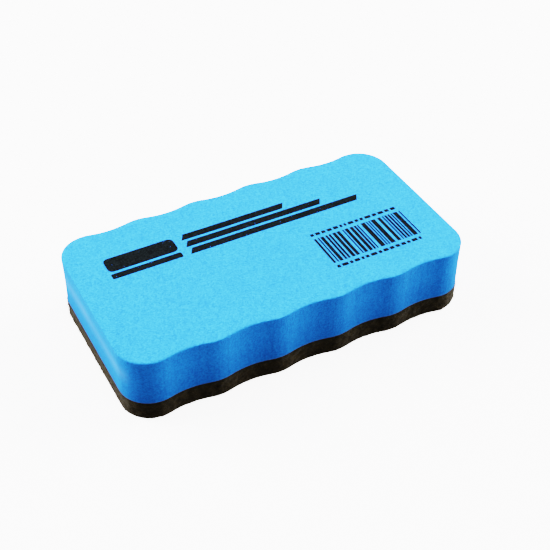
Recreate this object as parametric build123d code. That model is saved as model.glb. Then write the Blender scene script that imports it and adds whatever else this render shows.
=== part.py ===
"""Hand eraser for a writing board: a foam block for the hand, with a felt pad glued under it.

The block, the glue film and the pad are laminated as sheets and then cut out together by one
die, so all three share one outline: straight short sides, round corners, and long sides with a
row of shallow scallops for the fingers. Two ferrite discs lie in blind pockets in the block's
underside. They hold the eraser to a steel board through the pad.

Frame: millimetres, +Z up, +X along the length. The origin is the middle of the pad's wiping
face, which lies on the XY plane.
"""

from build123d import *

import math
import os

# Overall size, over the crests of the scallops
LENGTH = 110.0
WIDTH = 58.8

# Layers, from the wiping face up
FELT_THICKNESS = 6.0
FILM_THICKNESS = 0.2
FOAM_THICKNESS = 15.3

# Outline
SCALLOPS = 5
SCALLOP_PITCH = 18.9
SCALLOP_DEPTH = 1.15
SCALLOP_RADIUS = 26.0
CORNER_RADIUS = 9.2

# Edges
FOAM_TOP_ROUND = 0.3
FELT_BOTTOM_ROUND = 0.2

# Magnets, their glue and their pockets
MAGNET_SPACING = 56.0
MAGNET_DIAMETER = 20.0
MAGNET_THICKNESS = 3.0
MAGNET_CHAMFER = 0.3
POCKET_CLEARANCE = 0.2
GLUE_DIAMETER = 17.0
GLUE_THICKNESS = 0.2

# Heights that follow from the layers
FILM_BOTTOM = FELT_THICKNESS
FOAM_BOTTOM = FILM_BOTTOM + FILM_THICKNESS
MAGNET_TOP = FOAM_BOTTOM + MAGNET_THICKNESS
POCKET_DEPTH = MAGNET_THICKNESS + GLUE_THICKNESS
POCKET_RADIUS = MAGNET_DIAMETER / 2 + POCKET_CLEARANCE


def crest_radius():
    """Radius of the crest that is tangent to the scallops on both sides of it."""
    half_pitch = SCALLOP_PITCH / 2
    both_radii = (half_pitch**2 + SCALLOP_DEPTH**2) / (2 * SCALLOP_DEPTH)
    return both_radii - SCALLOP_RADIUS


def quarter_turns():
    """(radius, angle to the left) of each arc, from the middle scallop's floor to the short side."""
    crest = crest_radius()
    flank = math.degrees(math.asin(SCALLOP_PITCH / 2 / (SCALLOP_RADIUS + crest)))
    scallops_out = (SCALLOPS - 1) // 2
    turns = [(SCALLOP_RADIUS, flank)]
    for number in range(scallops_out):
        turns.append((crest, -2 * flank))
        is_last = number == scallops_out - 1
        turns.append((SCALLOP_RADIUS, flank if is_last else 2 * flank))
    # The last scallop runs on past its floor until the corner's arc takes over.
    beyond_floor = LENGTH / 2 - CORNER_RADIUS - scallops_out * SCALLOP_PITCH
    run_on = math.degrees(math.asin(beyond_floor / (SCALLOP_RADIUS + CORNER_RADIUS)))
    radius, angle = turns.pop()
    turns.append((radius, angle + run_on))
    turns.append((CORNER_RADIUS, -90 - run_on))
    return turns


def outline():
    """The outline that the die cuts, as a face on the XY plane."""
    point = Vector(0, WIDTH / 2 - SCALLOP_DEPTH)
    heading = Vector(1, 0)
    with BuildSketch() as face:
        with BuildLine():
            for radius, angle in quarter_turns():
                arc = JernArc(start=point, tangent=heading, radius=radius, arc_size=angle)
                point = arc @ 1
                heading = arc % 1
            Line(point, (LENGTH / 2, 0))
            mirror(about=Plane.XZ)
            mirror(about=Plane.YZ)
        make_face()
    return face.sketch


def layer(bottom, thickness):
    """One sheet of the laminate, cut to the outline."""
    return extrude(Pos(0, 0, bottom) * outline(), amount=thickness)


def disc(x, bottom, radius, thickness):
    """An upright disc on the length axis."""
    return Pos(x, 0, bottom + thickness / 2) * Cylinder(radius, thickness)


def magnet_places():
    """Name of each magnet's end of the eraser, and its x."""
    return {"left": -MAGNET_SPACING / 2, "right": MAGNET_SPACING / 2}


def felt_pad():
    """Needle-punched felt, with its wiping face's edge rubbed round."""
    pad = layer(0, FELT_THICKNESS)
    edges = pad.faces().sort_by(Axis.Z)[0].edges()
    return fillet(edges, FELT_BOTTOM_ROUND)


def pad_adhesive_film():
    """Hot-melt film between the felt and the foam."""
    return layer(FILM_BOTTOM, FILM_THICKNESS)


def foam_body():
    """Closed-cell foam block, with a rounded top edge and a blind pocket for each magnet."""
    block = layer(FOAM_BOTTOM, FOAM_THICKNESS)
    edges = block.faces().sort_by(Axis.Z)[-1].edges()
    block = fillet(edges, FOAM_TOP_ROUND)
    for x in magnet_places().values():
        block -= disc(x, FOAM_BOTTOM, POCKET_RADIUS, POCKET_DEPTH)
    return block


def magnet(x):
    """Sintered ferrite disc, chamfered on both rims and flush with the foam's underside."""
    plain = disc(x, FOAM_BOTTOM, MAGNET_DIAMETER / 2, MAGNET_THICKNESS)
    return chamfer(plain.edges().filter_by(GeomType.CIRCLE), MAGNET_CHAMFER)


def magnet_glue(x):
    """Dab of contact glue between a magnet and the floor of its pocket."""
    return disc(x, MAGNET_TOP, GLUE_DIAMETER / 2, GLUE_THICKNESS)


def main():
    nodes = {
        "felt_pad": felt_pad(),
        "pad_adhesive_film": pad_adhesive_film(),
        "foam_body": foam_body(),
    }
    for end, x in magnet_places().items():
        nodes[f"magnet_{end}"] = magnet(x)
        nodes[f"magnet_glue_{end}"] = magnet_glue(x)
    os.makedirs("parts", exist_ok=True)
    for name, shape in nodes.items():
        export_step(shape, f"parts/{name}.step")
        print(name, round(shape.volume), "mm3")


main()
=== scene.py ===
"""Foam and felt board eraser, dressed around its CAD frame.

The foam block and the felt pad are remeshed from their CAD solids and shaped like cut foam and
cut felt. Loose fibres stand on the pad's cut edge, and a flat print lies on the block. The glue
film, the magnets and their glue stay as the CAD made them, with finishes of their own. The stage
is a pale floor under soft lamps. Everything is in metres, in the frame's own axes.
"""

import math
import random

import bmesh
import bpy
from bpy.props import (
    FloatProperty,
    FloatVectorProperty,
    IntProperty,
    PointerProperty,
)
from mathutils import Matrix, Vector, noise
from mathutils.bvhtree import BVHTree


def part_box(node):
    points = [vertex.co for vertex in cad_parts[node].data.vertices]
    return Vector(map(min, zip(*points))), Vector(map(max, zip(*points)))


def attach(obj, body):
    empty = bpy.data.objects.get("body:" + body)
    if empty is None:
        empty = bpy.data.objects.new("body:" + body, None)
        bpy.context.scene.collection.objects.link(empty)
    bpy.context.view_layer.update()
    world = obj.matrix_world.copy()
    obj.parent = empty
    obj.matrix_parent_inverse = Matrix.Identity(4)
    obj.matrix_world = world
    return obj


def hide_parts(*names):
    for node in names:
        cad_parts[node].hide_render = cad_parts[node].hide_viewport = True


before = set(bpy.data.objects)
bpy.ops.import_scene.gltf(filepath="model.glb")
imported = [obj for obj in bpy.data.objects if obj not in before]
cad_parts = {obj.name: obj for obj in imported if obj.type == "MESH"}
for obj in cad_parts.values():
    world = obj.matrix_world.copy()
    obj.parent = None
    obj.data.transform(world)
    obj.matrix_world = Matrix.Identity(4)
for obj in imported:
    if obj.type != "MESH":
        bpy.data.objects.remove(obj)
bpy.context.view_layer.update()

bl_info = {
    "name": "Board Eraser",
    "version": (1, 0, 0),
    "blender": (4, 5, 0),
    "location": "View3D > Sidebar > Eraser",
    "description": "Dresses the CAD frame of a foam and felt board eraser",
    "category": "Object",
}

MM = 0.001
BODY = "root"

FOAM_LOW, FOAM_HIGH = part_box("foam_body")
FELT_LOW, FELT_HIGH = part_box("felt_pad")
MAGNETS = ("magnet_left", "magnet_right")
MAGNET_GLUES = ("magnet_glue_left", "magnet_glue_right")
MAGNET_BOXES = [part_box(magnet) for magnet in MAGNETS]
MAGNET_CENTRES = [((low + high) / 2).xy for low, high in MAGNET_BOXES]
MAGNET_RADIUS = (MAGNET_BOXES[0][1].x - MAGNET_BOXES[0][0].x) / 2
MAGNET_TOP = MAGNET_BOXES[0][1].z

# Marks on the cut walls: painted shade that rises from the pad, painted shade along the joint line,
# and a painted highlight band on the ends
PAINTED_SHADE_TOP = FOAM_LOW.z + 9.5 * MM
JOINT_SHADE_HEIGHT = 0.45 * MM
SHEEN_BAND_MIDDLE = FOAM_LOW.z + 8.8 * MM
SHEEN_BAND_REACH = 4.0 * MM


# ---------------------------------------------------------------- settings


class FoamSettings(bpy.types.PropertyGroup):
    """Shape and colour of the foam block."""

    detail: IntProperty(
        name="Mesh detail",
        description="How many times the length is halved to give the width of a face",
        default=8,
        min=5,
        max=9,
    )
    waist: FloatProperty(
        name="Waist",
        description="How far the cut wall pulls in halfway up, where the die squeezed the foam",
        default=0.12 * MM,
        subtype="DISTANCE",
        unit="LENGTH",
    )
    swell: FloatProperty(
        name="Swell",
        description="Height of the slow rise and fall of the top skin",
        default=0.06 * MM,
        subtype="DISTANCE",
        unit="LENGTH",
    )
    cell: FloatProperty(
        name="Cell size",
        description="Width of one closed foam cell",
        default=0.34 * MM,
        subtype="DISTANCE",
        unit="LENGTH",
    )
    colour: FloatVectorProperty(
        name="Foam colour",
        description="Colour of the dyed foam",
        default=(0.043, 0.256, 0.98),
        subtype="COLOR",
        min=0.0,
        max=1.0,
    )


class FeltSettings(bpy.types.PropertyGroup):
    """Shape and colour of the felt pad."""

    detail: IntProperty(
        name="Mesh detail",
        description="How many times the length is halved to give the width of a face",
        default=8,
        min=5,
        max=9,
    )
    tuft: FloatProperty(
        name="Tuft height",
        description="How far tufts stand out of the cut edge",
        default=0.24 * MM,
        subtype="DISTANCE",
        unit="LENGTH",
    )
    fibres: IntProperty(
        name="Loose fibres",
        description="How many fibres stand on the cut edge",
        default=5200,
        min=0,
    )
    fibre_length: FloatProperty(
        name="Fibre length",
        description="Longest loose fibre",
        default=1.8 * MM,
        subtype="DISTANCE",
        unit="LENGTH",
    )
    fibre_radius: FloatProperty(
        name="Fibre radius",
        description="Radius of a loose fibre at its root",
        default=0.032 * MM,
        subtype="DISTANCE",
        unit="LENGTH",
    )
    colour: FloatVectorProperty(
        name="Felt colour",
        description="Colour of the dyed fibres",
        default=(0.054, 0.042, 0.021),
        subtype="COLOR",
        min=0.0,
        max=1.0,
    )


class PrintSettings(bpy.types.PropertyGroup):
    """Ink on the top skin."""

    thickness: FloatProperty(
        name="Ink thickness",
        description="Thickness of the ink film",
        default=0.03 * MM,
        subtype="DISTANCE",
        unit="LENGTH",
    )
    colour: FloatVectorProperty(
        name="Ink colour",
        description="Colour of the ink",
        default=(0.006, 0.008, 0.009),
        subtype="COLOR",
        min=0.0,
        max=1.0,
    )


class CoreSettings(bpy.types.PropertyGroup):
    """Colours of the pieces between the foam and the felt."""

    film: FloatVectorProperty(
        name="Film colour",
        description="Colour of the hot-melt film",
        default=(0.10, 0.095, 0.09),
        subtype="COLOR",
        min=0.0,
        max=1.0,
    )
    ferrite: FloatVectorProperty(
        name="Ferrite colour",
        description="Colour of the magnets",
        default=(0.045, 0.045, 0.050),
        subtype="COLOR",
        min=0.0,
        max=1.0,
    )
    glue: FloatVectorProperty(
        name="Glue colour",
        description="Colour of the contact glue",
        default=(0.62, 0.42, 0.14),
        subtype="COLOR",
        min=0.0,
        max=1.0,
    )


class StageSettings(bpy.types.PropertyGroup):
    """Floor, lamps and camera."""

    floor_width: FloatProperty(
        name="Floor width",
        description="Side of the square floor",
        default=6.0,
        subtype="DISTANCE",
        unit="LENGTH",
    )
    floor_colour: FloatVectorProperty(
        name="Floor colour",
        description="Colour of the floor",
        default=(0.86, 0.86, 0.86),
        subtype="COLOR",
        min=0.0,
        max=1.0,
    )
    back_left_power: FloatProperty(
        name="Back left lamp",
        description="Power of the lamp behind the left end",
        default=16.0,
        subtype="POWER",
        unit="POWER",
    )
    right_power: FloatProperty(
        name="Right lamp",
        description="Power of the lamp off the right end",
        default=14.2,
        subtype="POWER",
        unit="POWER",
    )
    top_power: FloatProperty(
        name="Top lamp",
        description="Power of the lamp overhead",
        default=2.0,
        subtype="POWER",
        unit="POWER",
    )
    front_power: FloatProperty(
        name="Front lamp",
        description="Power of the weak lamp beside the camera",
        default=1.9,
        subtype="POWER",
        unit="POWER",
    )
    sky: FloatProperty(
        name="Sky",
        description="Strength of the even light from all round",
        default=0.12,
        min=0.0,
    )


# ---------------------------------------------------------------- meshes


def link_object(name, mesh):
    """An object at the origin that shows the mesh."""
    piece = bpy.data.objects.new(name, mesh)
    bpy.context.scene.collection.objects.link(piece)
    return piece


def remeshed_copy(node, name, detail):
    """The CAD solid again, with an even mesh of small faces on the same surface."""
    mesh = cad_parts[node].data.copy()
    bm = bmesh.new()
    bm.from_mesh(mesh)
    bmesh.ops.remove_doubles(bm, verts=bm.verts, dist=0.001 * MM)
    bmesh.ops.recalc_face_normals(bm, faces=bm.faces)
    bm.to_mesh(mesh)
    bm.free()
    rough = link_object(name + "_rough", mesh)
    remesh = rough.modifiers.new("Remesh", "REMESH")
    remesh.mode = "SHARP"
    remesh.octree_depth = detail
    remesh.scale = 0.99
    remesh.sharpness = 1.0
    wrap = rough.modifiers.new("Shrinkwrap", "SHRINKWRAP")
    wrap.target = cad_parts[node]
    wrap.wrap_method = "NEAREST_SURFACEPOINT"
    graph = bpy.context.evaluated_depsgraph_get()
    even = bpy.data.meshes.new_from_object(rough.evaluated_get(graph))
    bpy.data.objects.remove(rough)
    even.name = name
    return link_object(name, even)


def install(piece, material):
    """Puts the piece on the body and gives it its finish."""
    piece.data.materials.clear()
    piece.data.materials.append(material)
    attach(piece, BODY)


def shade_cut_shape(mesh):
    """Smooth shading that keeps the cut corners crisp."""
    mesh.shade_smooth()
    mesh.set_sharp_from_angle(angle=math.radians(55))


def smooth_step(value):
    """0 to 1 with a soft start and a soft end."""
    value = min(max(value, 0.0), 1.0)
    return value * value * (3 - 2 * value)


def in_pocket(point):
    """Whether a point of the foam belongs to a magnet's pocket."""
    if point.z > MAGNET_TOP + 1.0 * MM:
        return False
    return any((point.xy - centre).length < MAGNET_RADIUS + 1.5 * MM for centre in MAGNET_CENTRES)


# ---------------------------------------------------------------- node building


def add_node(tree, kind, **values):
    """A new node with the given settings."""
    node = tree.nodes.new(kind)
    for name, value in values.items():
        setattr(node, name, value)
    return node


def feed(tree, socket, value):
    """Links a socket into another, or sets its number."""
    if isinstance(value, bpy.types.NodeSocket):
        tree.links.new(value, socket)
    else:
        socket.default_value = value


def calc(tree, operation, first, second=0.0, third=0.0):
    """Output of a Math node."""
    node = add_node(tree, "ShaderNodeMath", operation=operation)
    for socket, value in zip(node.inputs, (first, second, third)):
        feed(tree, socket, value)
    return node.outputs[0]


def remap(tree, value, low, high, to_low=0.0, to_high=1.0):
    """Output of a Map Range node that clamps."""
    node = add_node(tree, "ShaderNodeMapRange", clamp=True)
    for name, entry in (
        ("Value", value),
        ("From Min", low),
        ("From Max", high),
        ("To Min", to_low),
        ("To Max", to_high),
    ):
        feed(tree, node.inputs[name], entry)
    return node.outputs["Result"]


def blend(tree, factor, first, second, mode="MIX"):
    """Colour output of a Mix node."""
    node = add_node(tree, "ShaderNodeMix", data_type="RGBA", blend_type=mode)
    feed(tree, node.inputs["Factor"], factor)
    feed(tree, node.inputs["A"], first)
    feed(tree, node.inputs["B"], second)
    return node.outputs["Result"]


def height_value(tree, vector):
    """Height above the wiping face."""
    node = add_node(tree, "ShaderNodeSeparateXYZ")
    feed(tree, node.inputs["Vector"], vector)
    return node.outputs["Z"]


def falling(tree, value, low, high):
    """One below the first level, nothing above the second."""
    return remap(tree, value, low, high, 1.0, 0.0)


def stretch(tree, vector, scale):
    """The vector with each axis scaled."""
    node = add_node(tree, "ShaderNodeMapping", vector_type="POINT")
    feed(tree, node.inputs["Vector"], vector)
    node.inputs["Scale"].default_value = scale
    return node.outputs["Vector"]


def noise_value(tree, vector, scale, detail=2.0, roughness=0.5):
    """Noise from 0 to 1."""
    node = add_node(tree, "ShaderNodeTexNoise", noise_type="FBM", normalize=True)
    feed(tree, node.inputs["Vector"], vector)
    feed(tree, node.inputs["Scale"], scale)
    node.inputs["Detail"].default_value = detail
    node.inputs["Roughness"].default_value = roughness
    return node.outputs["Fac"]


def opaque(colour):
    """A colour as four numbers."""
    return (*colour, 1.0)


def shaded(colour, share):
    """The colour made darker or lighter."""
    return tuple(min(channel * share, 1.0) for channel in colour)


def new_group(name, inputs, outputs):
    """A shader node group with float sockets, a Vector input first, and its two end nodes."""
    tree = bpy.data.node_groups.new(name, "ShaderNodeTree")
    tree.interface.new_socket("Vector", in_out="INPUT", socket_type="NodeSocketVector")
    for socket_name, default in inputs:
        socket = tree.interface.new_socket(
            socket_name, in_out="INPUT", socket_type="NodeSocketFloat"
        )
        socket.default_value = default
    for socket_name in outputs:
        tree.interface.new_socket(socket_name, in_out="OUTPUT", socket_type="NodeSocketFloat")
    start = add_node(tree, "NodeGroupInput")
    end = add_node(tree, "NodeGroupOutput")
    return tree, start.outputs, end.inputs


def new_material(name):
    """A material, its tree, its shader and its object coordinates."""
    material = bpy.data.materials.new(name)
    material.use_nodes = True
    tree = material.node_tree
    place = add_node(tree, "ShaderNodeTexCoord").outputs["Object"]
    return material, tree, tree.nodes["Principled BSDF"], place


def bump(tree, shader, height, distance, strength=1.0):
    """Feeds a height into the shader's normal."""
    node = add_node(tree, "ShaderNodeBump")
    feed(tree, node.inputs["Height"], height)
    node.inputs["Distance"].default_value = distance
    node.inputs["Strength"].default_value = strength
    tree.links.new(node.outputs["Normal"], shader.inputs["Normal"])


# ---------------------------------------------------------------- shared effects


def closed_cells_group(name):
    """Cut closed-cell foam: bowls of random tone between thin walls."""
    tree, given, result = new_group(name, [("Cell Size", 0.3 * MM)], ["Tone", "Height"])
    scale = calc(tree, "DIVIDE", 1.0, given["Cell Size"])
    cells = add_node(tree, "ShaderNodeTexVoronoi", feature="F1")
    feed(tree, cells.inputs["Vector"], given["Vector"])
    feed(tree, cells.inputs["Scale"], scale)
    random_tone = add_node(tree, "ShaderNodeSeparateColor")
    feed(tree, random_tone.inputs["Color"], cells.outputs["Color"])
    small = noise_value(tree, given["Vector"], calc(tree, "MULTIPLY", scale, 0.45), detail=3.0)
    own_tone = calc(tree, "MULTIPLY", random_tone.outputs["Red"], 0.5)
    tone = calc(tree, "MULTIPLY_ADD", small, 0.5, own_tone)
    feed(tree, result["Tone"], tone)
    bowl = remap(tree, cells.outputs["Distance"], 0.0, 0.75)
    feed(tree, result["Height"], calc(tree, "MULTIPLY_ADD", small, 0.5, bowl))
    return tree


def specks_group(name):
    """Small round marks, thinly scattered."""
    inputs = [("Spacing", 3.0 * MM), ("Size", 0.3 * MM), ("Share", 0.2), ("Seed", 0.0)]
    tree, given, result = new_group(name, inputs, ["Mask"])
    scale = calc(tree, "DIVIDE", 1.0, given["Spacing"])
    cells = add_node(tree, "ShaderNodeTexVoronoi", voronoi_dimensions="4D", feature="F1")
    feed(tree, cells.inputs["Vector"], given["Vector"])
    feed(tree, cells.inputs["W"], given["Seed"])
    feed(tree, cells.inputs["Scale"], scale)
    picks = add_node(tree, "ShaderNodeSeparateColor")
    feed(tree, picks.inputs["Color"], cells.outputs["Color"])
    chosen = calc(tree, "LESS_THAN", picks.outputs["Red"], given["Share"])
    reach = calc(tree, "MULTIPLY", cells.outputs["Distance"], given["Spacing"])
    inside = remap(tree, calc(tree, "DIVIDE", reach, given["Size"]), 0.5, 1.0, 1.0, 0.0)
    feed(tree, result["Mask"], calc(tree, "MULTIPLY", chosen, inside))
    return tree


def fibres_group(name):
    """Matted fibres: fine ridges that run along the stretch of the vector."""
    tree, given, result = new_group(name, [("Fibre Width", 0.1 * MM)], ["Tone", "Height"])
    scale = calc(tree, "DIVIDE", 0.5, given["Fibre Width"])
    strands = None
    for turn in (0.0, 1.1, 2.2):
        rotated = add_node(tree, "ShaderNodeMapping", vector_type="POINT")
        feed(tree, rotated.inputs["Vector"], given["Vector"])
        rotated.inputs["Rotation"].default_value = (0.5 * turn, 0.3 * turn, turn)
        rotated.inputs["Scale"].default_value = (0.16, 1.0, 0.8)
        ridges = add_node(
            tree, "ShaderNodeTexNoise", noise_type="RIDGED_MULTIFRACTAL", normalize=True
        )
        feed(tree, ridges.inputs["Vector"], rotated.outputs["Vector"])
        feed(tree, ridges.inputs["Scale"], scale)
        ridges.inputs["Detail"].default_value = 2.0
        ridges.inputs["Distortion"].default_value = 0.6
        fresh = ridges.outputs["Fac"]
        strands = fresh if strands is None else calc(tree, "MAXIMUM", strands, fresh)
    clumps = noise_value(tree, given["Vector"], calc(tree, "MULTIPLY", scale, 0.12), detail=3.0)
    tone = calc(tree, "MULTIPLY_ADD", clumps, 0.5, calc(tree, "MULTIPLY", strands, 0.5))
    feed(tree, result["Tone"], tone)
    feed(tree, result["Height"], calc(tree, "MULTIPLY_ADD", clumps, 0.8, strands))
    return tree


EFFECTS = {
    "Closed Cells": closed_cells_group,
    "Scattered Specks": specks_group,
    "Matted Fibres": fibres_group,
}


def place_effect(tree, name, vector, **values):
    """The outputs of a shared effect in a material. Its inputs are named with underscores."""
    group = bpy.data.node_groups.get(name) or EFFECTS[name](name)
    node = add_node(tree, "ShaderNodeGroup", node_tree=group)
    feed(tree, node.inputs["Vector"], vector)
    for key, value in values.items():
        feed(tree, node.inputs[key.replace("_", " ").title()], value)
    return node.outputs


def place_specks(tree, vector, **values):
    """The mask of the scattered specks in a material."""
    return place_effect(tree, "Scattered Specks", vector, **values)["Mask"]


# ---------------------------------------------------------------- finishes

BLACK = (0.0, 0.0, 0.0, 1.0)
WHITE = (1.0, 1.0, 1.0, 1.0)
# Painted shade along the foam's joint with the pad
FOAM_JOINT_SHADE = (0.05, 0.08, 0.11, 1.0)
# Painted highlight band on the foam's end walls
SHEEN_FOAM = (0.16, 0.36, 0.95, 1.0)
PALE_DUST = (0.75, 0.85, 0.95, 1.0)
PALE_LINT = (0.35, 0.31, 0.26, 1.0)
# Painted shade along the felt's top edge at the joint
FELT_JOINT_SHADE = (0.008, 0.007, 0.006, 1.0)
BRIGHT_CRYSTAL = (0.35, 0.36, 0.38, 1.0)
PALE_BUBBLE = (0.85, 0.72, 0.45, 1.0)

# What the floor and the sky show to the camera, and what the floor throws back at the object
FLOOR_GLOW = 2.3
SKY_GLOW = 2.9
FLOOR_BOUNCE = (0.22, 0.22, 0.22, 1.0)


def foam_material(settings):
    """Dyed closed-cell foam, with die marks on the cut wall, pits darkened with painted shade, pale
    dust, painted shade low on the walls and along the joint, and a painted highlight band on the
    ends.
    """
    material, tree, shader, place = new_material("Dyed Foam")
    cell = place_effect(tree, "Closed Cells", place, cell_size=settings.cell)
    slow = noise_value(tree, place, 70.0, detail=2.0)
    pits = place_specks(tree, place, spacing=3.4 * MM, size=0.32 * MM, share=0.22, seed=1.0)
    dust = place_specks(tree, place, spacing=7.0 * MM, size=0.26 * MM, share=0.16, seed=2.0)
    wall = add_node(tree, "ShaderNodeAttribute", attribute_name="wall").outputs["Fac"]
    end = add_node(tree, "ShaderNodeAttribute", attribute_name="end").outputs["Fac"]
    level = height_value(tree, place)
    drag = noise_value(tree, stretch(tree, place, (1.0, 1.0, 0.06)), 1400.0, detail=3.0)
    drag = calc(tree, "MULTIPLY", calc(tree, "SUBTRACT", drag, 0.5), wall)

    dark = opaque(shaded(settings.colour, 0.70))
    light = opaque(shaded(settings.colour, 1.27))
    tone = remap(tree, cell["Tone"], 0.2, 0.8)
    contrast = calc(tree, "MULTIPLY_ADD", wall, -0.2, 1.0)
    tone = calc(tree, "MULTIPLY_ADD", calc(tree, "SUBTRACT", tone, 0.5), contrast, 0.5)
    colour = blend(tree, tone, dark, light)
    lift = calc(tree, "MULTIPLY_ADD", slow, 0.12, calc(tree, "MULTIPLY_ADD", drag, 0.5, 0.94))
    grey = blend(tree, lift, BLACK, WHITE)
    colour = blend(tree, 1.0, colour, grey, "MULTIPLY")
    # Painted shade: the walls darken towards the pad
    base_shade = calc(tree, "MULTIPLY", falling(tree, level, FOAM_LOW.z, PAINTED_SHADE_TOP), wall)
    shade_colour = opaque(shaded(settings.colour, 0.12))
    colour = blend(tree, calc(tree, "MULTIPLY", base_shade, 0.30), colour, shade_colour)
    # Painted shade along the foam's joint with the pad
    joint_shade = falling(tree, level, FOAM_LOW.z, FOAM_LOW.z + JOINT_SHADE_HEIGHT)
    colour = blend(tree, calc(tree, "MULTIPLY", joint_shade, 0.4), colour, FOAM_JOINT_SHADE)
    # Painted highlight: a pale band across the middle of the end walls
    from_sheen_band = calc(tree, "ABSOLUTE", calc(tree, "SUBTRACT", level, SHEEN_BAND_MIDDLE))
    painted_sheen = calc(tree, "MULTIPLY", falling(tree, from_sheen_band, 0.0, SHEEN_BAND_REACH), end)
    painted_sheen = calc(tree, "MULTIPLY", painted_sheen, calc(tree, "MULTIPLY_ADD", slow, 0.5, 0.07))
    colour = blend(tree, painted_sheen, colour, SHEEN_FOAM)
    # Painted shade in the pits
    pit_shade = opaque(shaded(settings.colour, 0.25))
    colour = blend(tree, calc(tree, "MULTIPLY", pits, 0.55), colour, pit_shade)
    colour = blend(tree, calc(tree, "MULTIPLY", dust, 0.6), colour, PALE_DUST)
    feed(tree, shader.inputs["Base Color"], colour)
    feed(tree, shader.inputs["Roughness"], remap(tree, cell["Tone"], 0.2, 0.8, 0.72, 0.88))

    height = calc(tree, "MULTIPLY_ADD", pits, -2.0, cell["Height"])
    height = calc(tree, "MULTIPLY_ADD", drag, 1.2, height)
    bump(tree, shader, height, distance=0.05 * MM, strength=0.6)
    shader.inputs["Specular IOR Level"].default_value = 0.08
    shader.inputs["Sheen Weight"].default_value = 0.02
    shader.inputs["Sheen Roughness"].default_value = 0.4
    return material


def felt_material(name, settings, lightness=1.0):
    """Dark needled felt, or the loose fibres on it."""
    material, tree, shader, place = new_material(name)
    flat = stretch(tree, place, (1.0, 1.0, 1.8))
    mat = place_effect(tree, "Matted Fibres", flat, fibre_width=0.12 * MM)
    lint = place_specks(tree, place, spacing=1.6 * MM, size=0.15 * MM, share=0.3, seed=4.0)
    tone = remap(tree, mat["Tone"], 0.25, 0.8)
    dark = opaque(shaded(settings.colour, 0.6 * lightness))
    light = opaque(shaded(settings.colour, 1.35 * lightness))
    colour = blend(tree, tone, dark, light)
    colour = blend(tree, calc(tree, "MULTIPLY", lint, 0.6), colour, PALE_LINT)
    level = height_value(tree, place)
    # Painted shade along the felt's top edge, under the joint
    joint_shade = remap(tree, level, FELT_HIGH.z - 2 * JOINT_SHADE_HEIGHT, FELT_HIGH.z, 0.0, 1.0)
    colour = blend(tree, calc(tree, "MULTIPLY", joint_shade, 0.6), colour, FELT_JOINT_SHADE)
    feed(tree, shader.inputs["Base Color"], colour)
    feed(tree, shader.inputs["Roughness"], remap(tree, tone, 0.0, 1.0, 0.95, 0.8))
    bump(tree, shader, mat["Height"], distance=0.12 * MM, strength=0.8)
    shader.inputs["Specular IOR Level"].default_value = 0.08
    shader.inputs["Sheen Weight"].default_value = 0.09
    shader.inputs["Sheen Roughness"].default_value = 0.6
    return material


def ink_material(settings, foam):
    """Flat printing ink, broken by pinholes where foam cells stayed dry."""
    material, tree, shader, place = new_material("Printing Ink")
    cell = place_effect(tree, "Closed Cells", place, cell_size=foam.cell)
    pinholes = place_specks(tree, place, spacing=0.7 * MM, size=0.16 * MM, share=0.35, seed=7.0)
    tone = remap(tree, cell["Tone"], 0.3, 0.8)
    dark = opaque(shaded(settings.colour, 0.7))
    light = opaque(shaded(settings.colour, 2.2))
    colour = blend(tree, tone, dark, light)
    colour = blend(tree, calc(tree, "MULTIPLY", pinholes, 0.5), colour, opaque(foam.colour))
    feed(tree, shader.inputs["Base Color"], colour)
    feed(tree, shader.inputs["Roughness"], remap(tree, tone, 0.0, 1.0, 0.70, 0.85))
    bump(tree, shader, cell["Height"], distance=0.05 * MM, strength=0.5)
    shader.inputs["Specular IOR Level"].default_value = 0.08
    return material


def film_material(settings):
    """Hot-melt film, greyed by lint from the felt stuck in its edge."""
    material, tree, shader, place = new_material("Hot Melt Film")
    mat = place_effect(tree, "Matted Fibres", place, fibre_width=0.15 * MM)
    tone = remap(tree, mat["Tone"], 0.3, 0.8)
    colour = blend(
        tree, tone, opaque(shaded(settings.film, 0.6)), opaque(shaded(settings.film, 1.6))
    )
    feed(tree, shader.inputs["Base Color"], colour)
    feed(tree, shader.inputs["Roughness"], remap(tree, tone, 0.0, 1.0, 0.35, 0.6))
    bump(tree, shader, mat["Height"], distance=0.03 * MM, strength=0.5)
    return material


def ferrite_material(settings):
    """Sintered ferrite: fine dull grain with a few bright crystals and grinding lines."""
    material, tree, shader, place = new_material("Sintered Ferrite")
    grain = noise_value(tree, place, 2600.0, detail=4.0, roughness=0.65)
    lines = noise_value(tree, stretch(tree, place, (0.05, 1.0, 1.0)), 5200.0, detail=2.0)
    crystals = place_specks(tree, place, spacing=0.9 * MM, size=0.09 * MM, share=0.4, seed=9.0)
    tone = calc(tree, "MULTIPLY_ADD", lines, 0.35, calc(tree, "MULTIPLY", grain, 0.65))
    colour = blend(
        tree,
        remap(tree, tone, 0.3, 0.7),
        opaque(shaded(settings.ferrite, 0.6)),
        opaque(shaded(settings.ferrite, 1.5)),
    )
    colour = blend(tree, calc(tree, "MULTIPLY", crystals, 0.6), colour, BRIGHT_CRYSTAL)
    feed(tree, shader.inputs["Base Color"], colour)
    feed(tree, shader.inputs["Roughness"], remap(tree, tone, 0.3, 0.7, 0.42, 0.62))
    feed(tree, shader.inputs["Metallic"], calc(tree, "MULTIPLY", crystals, 0.8))
    bump(tree, shader, tone, distance=0.02 * MM, strength=0.6)
    return material


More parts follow.
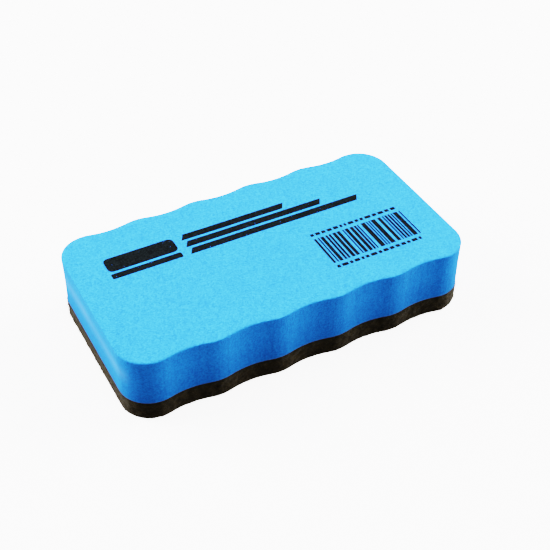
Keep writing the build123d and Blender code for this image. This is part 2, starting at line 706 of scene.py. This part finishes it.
def glue_material(settings):
    """Amber contact glue with small bubbles and streaks of the brush."""
    material, tree, shader, place = new_material("Contact Glue")
    streaks = noise_value(tree, stretch(tree, place, (0.25, 1.0, 1.0)), 900.0, detail=3.0)
    bubbles = place_specks(tree, place, spacing=1.3 * MM, size=0.28 * MM, share=0.35, seed=11.0)
    tone = remap(tree, streaks, 0.3, 0.7)
    colour = blend(
        tree, tone, opaque(shaded(settings.glue, 0.7)), opaque(shaded(settings.glue, 1.15))
    )
    colour = blend(tree, calc(tree, "MULTIPLY", bubbles, 0.4), colour, PALE_BUBBLE)
    feed(tree, shader.inputs["Base Color"], colour)
    feed(tree, shader.inputs["Roughness"], remap(tree, tone, 0.0, 1.0, 0.22, 0.4))
    height = calc(tree, "MULTIPLY_ADD", bubbles, 0.8, streaks)
    bump(tree, shader, height, distance=0.05 * MM, strength=0.6)
    return material


def floor_material(settings):
    """Pale floor that stays bright to the eye but throws little light back up."""
    material, tree, shader, place = new_material("Pale Floor")
    seen = add_node(tree, "ShaderNodeLightPath").outputs["Is Camera Ray"]
    grain = noise_value(tree, place, 40.0, detail=2.0)
    pale = blend(
        tree, grain, opaque(shaded(settings.floor_colour, 0.995)), opaque(settings.floor_colour)
    )
    colour = blend(tree, seen, FLOOR_BOUNCE, pale)
    feed(tree, shader.inputs["Base Color"], colour)
    shader.inputs["Roughness"].default_value = 0.9
    shader.inputs["Specular IOR Level"].default_value = 0.0
    shader.inputs["Emission Color"].default_value = WHITE
    feed(tree, shader.inputs["Emission Strength"], calc(tree, "MULTIPLY", seen, FLOOR_GLOW))
    return material


# ---------------------------------------------------------------- shapes

# Widths of the unevenness in the foam's wall and top skin
RIPPLE_WIDTH = 9 * MM
SWELL_WIDTH = 16 * MM

# Widths of the tufts on the cut edge, and the needle marks in the wiping face
COARSE_TUFT = 2.2 * MM
FINE_TUFT = 0.8 * MM
NEEDLE_PITCH = 1.1 * MM
FIBRE_PITCH = 0.45 * MM
NEEDLE_DEPTH = 0.09 * MM


def shape_foam(piece, settings):
    """Pulls the cut wall in at its waist and lets the top skin rise and fall."""
    mesh = piece.data
    wall = mesh.attributes.new("wall", "FLOAT", "POINT")
    end = mesh.attributes.new("end", "FLOAT", "POINT")
    height = FOAM_HIGH.z - FOAM_LOW.z
    normals = [vertex.normal.copy() for vertex in mesh.vertices]
    for vertex, normal in zip(mesh.vertices, normals):
        level = (vertex.co.z - FOAM_LOW.z) / height
        upright = smooth_step((0.75 - abs(normal.z)) / 0.5)
        wall.data[vertex.index].value = upright
        end.data[vertex.index].value = upright * smooth_step((abs(normal.x) - 0.75) / 0.2)
        if in_pocket(vertex.co):
            continue
        outward = Vector((normal.x, normal.y, 0.0))
        squeeze = math.sin(math.pi * min(max(level, 0.0), 1.0)) ** 0.8
        ripple = 1 + 0.35 * noise.noise(vertex.co / RIPPLE_WIDTH)
        vertex.co -= outward * settings.waist * squeeze * ripple
        lift = smooth_step((level - 0.6) / 0.4)
        across = Vector((vertex.co.x / SWELL_WIDTH, vertex.co.y / SWELL_WIDTH, 3.0))
        vertex.co.z += settings.swell * lift * noise.noise(across)
    shade_cut_shape(mesh)


def shape_felt(piece, settings):
    """Roughens the cut edge into tufts and presses needle marks into the wiping face."""
    mesh = piece.data
    normals = [vertex.normal.copy() for vertex in mesh.vertices]
    for vertex, normal in zip(mesh.vertices, normals):
        upright = smooth_step((0.9 - abs(normal.z)) / 0.6)
        point = vertex.co
        flat = Vector((point.x, point.y, 1.6 * point.z))
        coarse = noise.noise(flat / COARSE_TUFT)
        fine = noise.noise(flat / FINE_TUFT)
        tuft = settings.tuft * (coarse + 0.8 * fine)
        outward = Vector((normal.x, normal.y, 0.0))
        vertex.co = point + outward * tuft * upright
        if normal.z < -0.5:
            marks = noise.noise(point / NEEDLE_PITCH) + 0.5 * noise.noise(point / FIBRE_PITCH)
            vertex.co.z += NEEDLE_DEPTH * (0.5 + 0.5 * marks)
        vertex.co.z = max(vertex.co.z, FELT_LOW.z)
    shade_cut_shape(mesh)


def cut_edge_places(piece, count, chance):
    """Random points on the pad's cut edge, each with the direction out of it."""
    mesh = piece.data
    faces = [face for face in mesh.polygons if abs(face.normal.z) < 0.6]
    areas = [face.area for face in faces]
    for face in chance.choices(faces, weights=areas, k=count):
        corners = [mesh.vertices[index].co for index in face.vertices]
        shares = [chance.random() for _ in corners]
        point = sum((c * s for c, s in zip(corners, shares)), Vector()) / sum(shares)
        yield point, face.normal.copy()


def fibre_points(root, outward, length, chance):
    """Points along one loose fibre, which leaves the felt, lies over and curls."""
    along = outward.cross(Vector((0, 0, 1))).normalized() * chance.choice((-1, 1))
    lean = Vector((0, 0, chance.uniform(-0.35, 0.35)))
    heading = (outward * chance.uniform(0.3, 1.3) + along + lean).normalized()
    bend = outward * chance.uniform(-1.1, 0.25) + Vector((0, 0, chance.uniform(-0.8, 0.6)))
    point = root - outward * 0.06 * MM
    points = [point.copy()]
    steps = 4
    for _ in range(steps):
        heading = (heading + bend * 0.25).normalized()
        point = point + heading * length / steps
        point.z = min(max(point.z, FELT_LOW.z + 0.03 * MM), FELT_HIGH.z - 0.02 * MM)
        points.append(point.copy())
    return points


def fibre_mesh(pad, settings):
    """All loose fibres as thin, closed, tapered tubes in one mesh."""
    chance = random.Random(11)
    curve = bpy.data.curves.new("fibres", "CURVE")
    curve.dimensions = "3D"
    curve.bevel_depth = settings.fibre_radius
    curve.bevel_resolution = 0
    curve.use_fill_caps = True
    for root, outward in cut_edge_places(pad, settings.fibres, chance):
        length = settings.fibre_length * (0.25 + 0.75 * chance.random() ** 2)
        points = fibre_points(root, outward, length, chance)
        spline = curve.splines.new("POLY")
        spline.points.add(len(points) - 1)
        for number, point in enumerate(points):
            spline.points[number].co = (*point, 1.0)
            spline.points[number].radius = 1.0 - 0.16 * number
    tubes = bpy.data.objects.new("fibres", curve)
    bpy.context.scene.collection.objects.link(tubes)
    graph = bpy.context.evaluated_depsgraph_get()
    mesh = bpy.data.meshes.new_from_object(tubes.evaluated_get(graph))
    bpy.data.objects.remove(tubes)
    bpy.data.curves.remove(curve)
    bm = bmesh.new()
    bm.from_mesh(mesh)
    bmesh.ops.remove_doubles(bm, verts=bm.verts, dist=0.0005 * MM)
    bm.to_mesh(mesh)
    bm.free()
    mesh.shade_smooth()
    return mesh


# ---------------------------------------------------------------- print

MARK_LEFT = -44.6 * MM
MARK_RIGHT = 37.0 * MM
MARK_LOW = 6.6 * MM
MARK_HIGH = 16.0 * MM

BARS_LEFT = 14.7 * MM
BARS_RIGHT = 45.0 * MM
BARS_LOW = -16.3 * MM
BARS_HIGH = -4.2 * MM

DASH_HEIGHT = 1.2 * MM
DASH_GAP = 0.6 * MM
SHORTEST_DASH = 0.8 * MM
LONGEST_DASH = 2.1 * MM


def add_rounded_box(bm, left, low, right, high, radius):
    """A flat rectangle with round corners."""
    made = bmesh.ops.create_grid(bm, x_segments=1, y_segments=1, size=0.5)
    corners = made["verts"]
    size = Matrix.Diagonal((right - left, high - low, 1.0, 1.0))
    middle = Matrix.Translation(((left + right) / 2, (low + high) / 2, 0.0))
    bmesh.ops.transform(bm, matrix=middle @ size, verts=corners)
    if radius > 0:
        bmesh.ops.bevel(
            bm,
            geom=corners,
            offset=radius,
            segments=5,
            profile=0.5,
            affect="VERTICES",
            material=-1,
        )


def add_slanted_bar(bm, left, low, right, high, slant):
    """A flat bar whose two ends lean over by the slant."""
    made = bmesh.ops.create_grid(bm, x_segments=1, y_segments=1, size=0.5)
    size = Matrix.Diagonal((right - left, high - low, 1.0, 1.0))
    middle = Matrix.Translation(((left + right) / 2, (low + high) / 2, 0.0))
    lean = Matrix.Shear("XZ", 4, (0.0, 0.0))
    lean[0][1] = slant / (high - low)
    bmesh.ops.transform(bm, matrix=middle @ lean @ size, verts=made["verts"])


def add_wiping_mark(bm):
    """A pictogram: an eraser, seen from its side, with the strokes that it wipes."""
    block_width = 22.0 * MM
    felt_height = 2.3 * MM
    gap = 0.9 * MM
    right = MARK_LEFT + block_width
    add_rounded_box(bm, MARK_LEFT, MARK_LOW + felt_height + gap, right, MARK_HIGH, 1.6 * MM)
    add_rounded_box(bm, MARK_LEFT, MARK_LOW, right, MARK_LOW + felt_height, 0.5 * MM)
    strokes = 3
    pitch = (MARK_HIGH - MARK_LOW + gap) / strokes
    for number in range(strokes):
        low = MARK_LOW + number * pitch
        length = (MARK_RIGHT - right - 3.0 * MM) * (1.0 - 0.2 * number)
        left = right + 3.0 * MM
        add_slanted_bar(bm, left, low, left + length, low + pitch - gap, 1.4 * MM)


def add_bar_block(bm):
    """A plain block of upright bars, which encodes nothing: widths and gaps are in modules."""
    chance = random.Random(2007)
    bars = [1.3] * 8 + [2.0] * 6 + [3.0] * 6 + [4.0] * 3
    gaps = [1.0] * 13 + [1.6] * 6 + [2.4] * 3
    module = (BARS_RIGHT - BARS_LEFT) / (sum(bars) + sum(gaps))
    chance.shuffle(bars)
    chance.shuffle(gaps)
    left = BARS_LEFT
    for bar, gap in zip(bars, gaps + [0]):
        add_rounded_box(bm, left, BARS_LOW, left + bar * module, BARS_HIGH, 0.0)
        left += (bar + gap) * module


def add_dashes(bm, low, seed):
    """A row of short dashes of mixed lengths, as wide as the bars."""
    chance = random.Random(seed)
    left = BARS_LEFT
    while BARS_RIGHT - left > SHORTEST_DASH:
        length = chance.uniform(SHORTEST_DASH, LONGEST_DASH)
        add_rounded_box(bm, left, low, min(left + length, BARS_RIGHT), low + DASH_HEIGHT, 0.2 * MM)
        left += length + DASH_GAP


def add_dash_rows(bm):
    """A row of dashes above the bars and one below them."""
    add_dashes(bm, BARS_HIGH + 1.3 * MM, 3)
    add_dashes(bm, BARS_LOW - 2.4 * MM, 8)


def drape_print(name, draw, block, settings):
    """Cuts the flat print into small faces, lays it on the block's top and gives it a thickness."""
    bm = bmesh.new()
    draw(bm)
    step = 1.5 * MM
    for axis in (Vector((1, 0, 0)), Vector((0, 1, 0))):
        reach = int(max(FOAM_HIGH.x, FOAM_HIGH.y) / step)
        for number in range(-reach, reach + 1):
            everything = bm.verts[:] + bm.edges[:] + bm.faces[:]
            bmesh.ops.bisect_plane(
                bm, geom=everything, dist=0.0, plane_co=axis * number * step, plane_no=axis
            )
    top = BVHTree.FromObject(block, bpy.context.evaluated_depsgraph_get())
    above = FOAM_HIGH.z + 10 * MM
    for vertex in bm.verts:
        hit = top.ray_cast(Vector((vertex.co.x, vertex.co.y, above)), Vector((0, 0, -1)))[0]
        if hit is None:
            raise RuntimeError(f"{name} reaches past the block's top")
        vertex.co.z = hit.z + settings.thickness * 0.6
    bmesh.ops.recalc_face_normals(bm, faces=bm.faces)
    for face in bm.faces:
        if face.normal.z < 0:
            face.normal_flip()
    bmesh.ops.solidify(bm, geom=bm.faces[:], thickness=settings.thickness)
    mesh = bpy.data.meshes.new(name)
    bm.to_mesh(mesh)
    bm.free()
    return link_object(name, mesh)


# ---------------------------------------------------------------- stage


# Azimuth, elevation, distance, width and setting of each lamp
LAMPS = {
    "lamp_back_left": (-131, 29, 0.8, 0.55, "back_left_power"),
    "lamp_right": (86, 27, 0.8, 0.55, "right_power"),
    "lamp_top": (0, 90, 0.9, 0.7, "top_power"),
    "lamp_front": (20, 50, 0.8, 0.4, "front_power"),
}

CAMERA_AIM = Vector((8.69 * MM, 8.60 * MM, 0.0))
CAMERA_AZIMUTH = -28.45
CAMERA_ELEVATION = 41.28
CAMERA_DISTANCE = 339.5 * MM
CAMERA_ROLL = 0.54
CAMERA_LENS = 70.19
CAMERA_SENSOR = 36.0


def compass(azimuth, elevation):
    """Unit vector towards an azimuth and an elevation in degrees. Azimuth 0 is the front, -Y."""
    turn = math.radians(azimuth)
    rise = math.radians(elevation)
    flat = math.cos(rise)
    return Vector((math.sin(turn) * flat, -math.cos(turn) * flat, math.sin(rise)))


def add_softbox(name, azimuth, elevation, distance, width, power):
    """A square lamp that faces the object."""
    lamp = bpy.data.lights.new(name, "AREA")
    lamp.shape = "SQUARE"
    lamp.size = width
    lamp.energy = power
    towards = compass(azimuth, elevation)
    holder = bpy.data.objects.new(name, lamp)
    holder.location = towards * distance
    holder.rotation_euler = towards.to_track_quat("Z", "Y").to_euler()
    bpy.context.scene.collection.objects.link(holder)


def add_camera():
    """Camera above the front left corner."""
    towards = compass(CAMERA_AZIMUTH, CAMERA_ELEVATION)
    data = bpy.data.cameras.new("camera")
    data.sensor_width = CAMERA_SENSOR
    data.lens = CAMERA_LENS
    data.clip_start = 0.01
    data.clip_end = 20.0
    holder = bpy.data.objects.new("camera", data)
    upright = towards.to_track_quat("Z", "Y").to_matrix()
    roll = Matrix.Rotation(math.radians(CAMERA_ROLL), 3, "Z")
    place = Matrix.Translation(CAMERA_AIM + towards * CAMERA_DISTANCE)
    holder.matrix_world = place @ (upright @ roll).to_4x4()
    bpy.context.scene.collection.objects.link(holder)
    bpy.context.scene.camera = holder


def add_floor(settings):
    """Flat floor under the wiping face."""
    bm = bmesh.new()
    bmesh.ops.create_grid(bm, x_segments=8, y_segments=8, size=settings.floor_width / 2)
    below_felt = FELT_LOW.z - 0.02 * MM
    bmesh.ops.translate(bm, verts=bm.verts, vec=(0, 0, below_felt))
    mesh = bpy.data.meshes.new("floor")
    bm.to_mesh(mesh)
    bm.free()
    floor = link_object("floor", mesh)
    mesh.materials.append(floor_material(settings))


def add_sky(settings):
    """Even white light from all round, brighter where the camera sees it past the floor."""
    world = bpy.data.worlds.new("sky")
    world.use_nodes = True
    tree = world.node_tree
    background = tree.nodes["Background"]
    background.inputs["Color"].default_value = WHITE
    seen = add_node(tree, "ShaderNodeLightPath").outputs["Is Camera Ray"]
    strength = calc(tree, "MULTIPLY_ADD", seen, SKY_GLOW, settings.sky)
    feed(tree, background.inputs["Strength"], strength)
    bpy.context.scene.world = world


# ---------------------------------------------------------------- operators


class ERASER_OT_foam_block(bpy.types.Operator):
    """Make the foam block"""

    bl_idname = "eraser.foam_block"
    bl_label = "Foam Block"

    def execute(self, context):
        settings = context.scene.eraser_foam
        block = remeshed_copy("foam_body", "foam_block", settings.detail)
        shape_foam(block, settings)
        install(block, foam_material(settings))
        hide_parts("foam_body")
        return {"FINISHED"}


class ERASER_OT_felt_pad(bpy.types.Operator):
    """Make the felt pad and the loose fibres on its cut edge"""

    bl_idname = "eraser.felt_pad"
    bl_label = "Felt Pad"

    def execute(self, context):
        settings = context.scene.eraser_felt
        pad = remeshed_copy("felt_pad", "needled_felt", settings.detail)
        shape_felt(pad, settings)
        install(pad, felt_material("Needled Felt", settings))
        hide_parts("felt_pad")
        fuzz = link_object("felt_fuzz", fibre_mesh(pad, settings))
        install(fuzz, felt_material("Loose Fibres", settings, 1.3))
        return {"FINISHED"}


class ERASER_OT_print(bpy.types.Operator):
    """Print the wiping mark, the block of bars and two rows of dashes on the foam block"""

    bl_idname = "eraser.print"
    bl_label = "Print"

    def execute(self, context):
        block = bpy.data.objects.get("foam_block")
        if block is None:
            raise RuntimeError("make the foam block before its print")
        settings = context.scene.eraser_print
        ink = ink_material(settings, context.scene.eraser_foam)
        for name, draw in (
            ("print_mark", add_wiping_mark),
            ("print_bars", add_bar_block),
            ("print_rows", add_dash_rows),
        ):
            install(drape_print(name, draw, block, settings), ink)
        return {"FINISHED"}


class ERASER_OT_core(bpy.types.Operator):
    """Finish the glue film, the magnets and their glue"""

    bl_idname = "eraser.core"
    bl_label = "Film, Magnets and Glue"

    def execute(self, context):
        settings = context.scene.eraser_core
        finishes = {"pad_adhesive_film": film_material(settings)}
        finishes.update(dict.fromkeys(MAGNETS, ferrite_material(settings)))
        finishes.update(dict.fromkeys(MAGNET_GLUES, glue_material(settings)))
        for node, material in finishes.items():
            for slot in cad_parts[node].material_slots:
                slot.material = material
        return {"FINISHED"}


class ERASER_OT_stage(bpy.types.Operator):
    """Set the floor, the lamps and the camera"""

    bl_idname = "eraser.stage"
    bl_label = "Stage"

    def execute(self, context):
        settings = context.scene.eraser_stage
        add_floor(settings)
        add_sky(settings)
        for name, (azimuth, elevation, distance, width, power) in LAMPS.items():
            add_softbox(name, azimuth, elevation, distance, width, getattr(settings, power))
        add_camera()
        context.scene.view_settings.view_transform = "Filmic"
        context.scene.view_settings.look = "Very High Contrast"
        return {"FINISHED"}


class ERASER_PT_build(bpy.types.Panel):
    """Settings and steps of the board eraser"""

    bl_idname = "ERASER_PT_build"
    bl_label = "Board Eraser"
    bl_space_type = "VIEW_3D"
    bl_region_type = "UI"
    bl_category = "Eraser"

    def draw(self, context):
        for operator, settings_name in (
            (ERASER_OT_foam_block, "eraser_foam"),
            (ERASER_OT_felt_pad, "eraser_felt"),
            (ERASER_OT_print, "eraser_print"),
            (ERASER_OT_core, "eraser_core"),
            (ERASER_OT_stage, "eraser_stage"),
        ):
            box = self.layout.box()
            settings = getattr(context.scene, settings_name)
            for name in settings.__annotations__:
                box.prop(settings, name)
            box.operator(operator.bl_idname)


SETTINGS = {
    "eraser_foam": FoamSettings,
    "eraser_felt": FeltSettings,
    "eraser_print": PrintSettings,
    "eraser_core": CoreSettings,
    "eraser_stage": StageSettings,
}
OPERATORS_AND_PANEL = (
    ERASER_OT_foam_block,
    ERASER_OT_felt_pad,
    ERASER_OT_print,
    ERASER_OT_core,
    ERASER_OT_stage,
    ERASER_PT_build,
)


def register():
    """Registers the settings, the operators and the panel."""
    for name, group in SETTINGS.items():
        bpy.utils.register_class(group)
        setattr(bpy.types.Scene, name, PointerProperty(type=group))
    for item in OPERATORS_AND_PANEL:
        bpy.utils.register_class(item)


def unregister():
    """Takes back what register did."""
    for item in reversed(OPERATORS_AND_PANEL):
        bpy.utils.unregister_class(item)
    for name, group in reversed(list(SETTINGS.items())):
        delattr(bpy.types.Scene, name)
        bpy.utils.unregister_class(group)


def main():
    """Builds everything."""
    register()
    bpy.ops.eraser.stage()
    bpy.ops.eraser.foam_block()
    bpy.ops.eraser.felt_pad()
    bpy.ops.eraser.print()
    bpy.ops.eraser.core()


if __name__ == "__main__":
    main()
